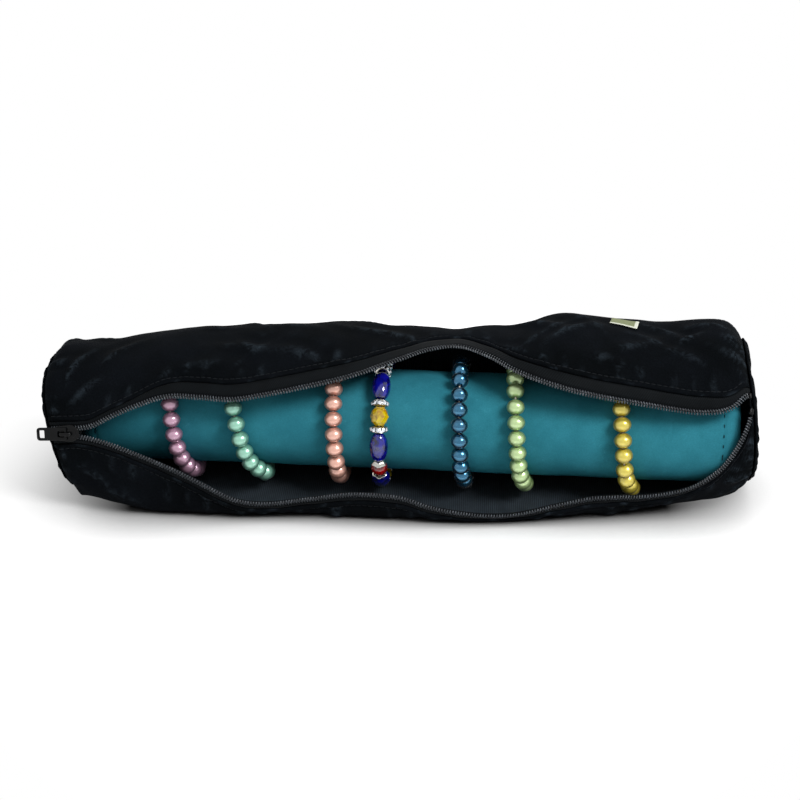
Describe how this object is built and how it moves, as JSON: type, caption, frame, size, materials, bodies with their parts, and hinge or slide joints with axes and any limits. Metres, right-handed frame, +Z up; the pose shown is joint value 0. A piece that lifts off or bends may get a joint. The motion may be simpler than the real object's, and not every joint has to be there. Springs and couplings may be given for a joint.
{
  "type": "jewelry roll",
  "caption": "Zippered velvet jewelry roll, half open, with a padded teal roller that stretch bead bracelets are threaded on",
  "frame": {"origin": "Under the middle of the roll's outer box, on the surface it rests on", "axes": "+X along the roll from the zip's closed end to its open end, -Y towards the mouth, +Z up"},
  "size_m": [0.3364, 0.083, 0.0827],
  "materials": {
    "bag_velvet": "matte",
    "lining": "satin",
    "zip_tape": "matte",
    "zip_coil": "satin",
    "black_enamel": "gloss",
    "woven_label": "matte",
    "teal_velvet": "matte",
    "padding_foam": "matte",
    "cardboard": "matte",
    "lilac_beads": "gloss",
    "mint_beads": "gloss",
    "peach_beads": "gloss",
    "glass_beads": "gloss",
    "blue_beads": "gloss",
    "green_beads": "gloss",
    "yellow_beads": "gloss"
  },
  "bodies": {
    "bag": {"body_panel": "bag_velvet", "body_lining": "lining", "upper_zip_tape": "zip_tape", "lower_zip_tape": "zip_tape", "upper_zip_coil": "zip_coil", "lower_zip_coil": "zip_coil", "zip_top_stop_upper": "black_enamel", "zip_top_stop_lower": "black_enamel", "zip_bottom_stop": "black_enamel", "left_end_panel": "bag_velvet", "right_end_panel": "bag_velvet", "left_end_lining": "lining", "right_end_lining": "lining", "blank_label": "woven_label"},
    "slider": {"slider_body": "black_enamel"},
    "pull": {"pull_tab": "black_enamel"},
    "roller": {"roller_cover": "teal_velvet", "roller_padding": "padding_foam", "roller_core": "cardboard", "left_core_plug": "cardboard", "right_core_plug": "cardboard", "left_roller_cap": "teal_velvet", "right_roller_cap": "teal_velvet"},
    "lilac": {"bracelet_lilac": "lilac_beads"},
    "mint": {"bracelet_mint": "mint_beads"},
    "peach": {"bracelet_peach": "peach_beads"},
    "glass": {"bracelet_glass": "glass_beads"},
    "blue": {"bracelet_blue": "blue_beads"},
    "green": {"bracelet_green": "green_beads"},
    "yellow": {"bracelet_yellow": "yellow_beads"}
  },
  "joints": [
    {"name": "slider_travel", "type": "slide", "parent": "bag", "child": "slider", "axis": [0.9977, 0.0073, 0.0671], "range_m": [0, 0.302], "deforming": ["body_panel", "body_lining", "upper_zip_tape", "lower_zip_tape", "upper_zip_coil", "lower_zip_coil"]},
    {"name": "pull_swing", "type": "hinge", "parent": "slider", "child": "pull", "pos_m": [-0.15035, -0.03656, 0.04259], "axis": [-0.0445, 0.2796, 0.9591], "range_deg": [0, 165]},
    {"name": "roller_out", "type": "slide", "parent": "bag", "child": "roller", "axis": [0.0503, -0.905, 0.4223], "range_m": [0, 0.11], "deforming": ["body_panel", "body_lining", "upper_zip_tape", "lower_zip_tape", "upper_zip_coil", "lower_zip_coil"]},
    {"name": "lilac_along_roller", "type": "slide", "parent": "roller", "child": "lilac", "axis": [0.9992, -0.0401, -0.0073], "range_m": [-0.018, 0.0062], "deforming": ["body_panel", "body_lining", "upper_zip_tape", "lower_zip_tape", "upper_zip_coil", "lower_zip_coil"]},
    {"name": "mint_along_roller", "type": "slide", "parent": "roller", "child": "mint", "axis": [0.9992, -0.0401, -0.0073], "range_m": [-0.0062, 0.01], "deforming": ["body_panel", "body_lining", "upper_zip_tape", "lower_zip_tape", "upper_zip_coil", "lower_zip_coil"]},
    {"name": "peach_along_roller", "type": "slide", "parent": "roller", "child": "peach", "axis": [0.9992, -0.0401, -0.0073], "range_m": [-0.01, 0.0052], "deforming": ["body_panel", "body_lining", "upper_zip_tape", "lower_zip_tape", "upper_zip_coil", "lower_zip_coil"]},
    {"name": "glass_along_roller", "type": "slide", "parent": "roller", "child": "glass", "axis": [0.9992, -0.0401, -0.0073], "range_m": [-0.0052, 0.0134], "deforming": ["body_panel", "body_lining", "upper_zip_tape", "lower_zip_tape", "upper_zip_coil", "lower_zip_coil"]},
    {"name": "blue_along_roller", "type": "slide", "parent": "roller", "child": "blue", "axis": [0.9992, -0.0401, -0.0073], "range_m": [-0.0134, 0.0077], "deforming": ["body_panel", "body_lining", "upper_zip_tape", "lower_zip_tape", "upper_zip_coil", "lower_zip_coil"]},
    {"name": "green_along_roller", "type": "slide", "parent": "roller", "child": "green", "axis": [0.9992, -0.0401, -0.0073], "range_m": [-0.0077, 0.018], "deforming": ["body_panel", "body_lining", "upper_zip_tape", "lower_zip_tape", "upper_zip_coil", "lower_zip_coil"]},
    {"name": "yellow_along_roller", "type": "slide", "parent": "roller", "child": "yellow", "axis": [0.9992, -0.0401, -0.0073], "range_m": [-0.018, 0.016], "deforming": ["body_panel", "body_lining", "upper_zip_tape", "lower_zip_tape", "upper_zip_coil", "lower_zip_coil"]}
  ]
}
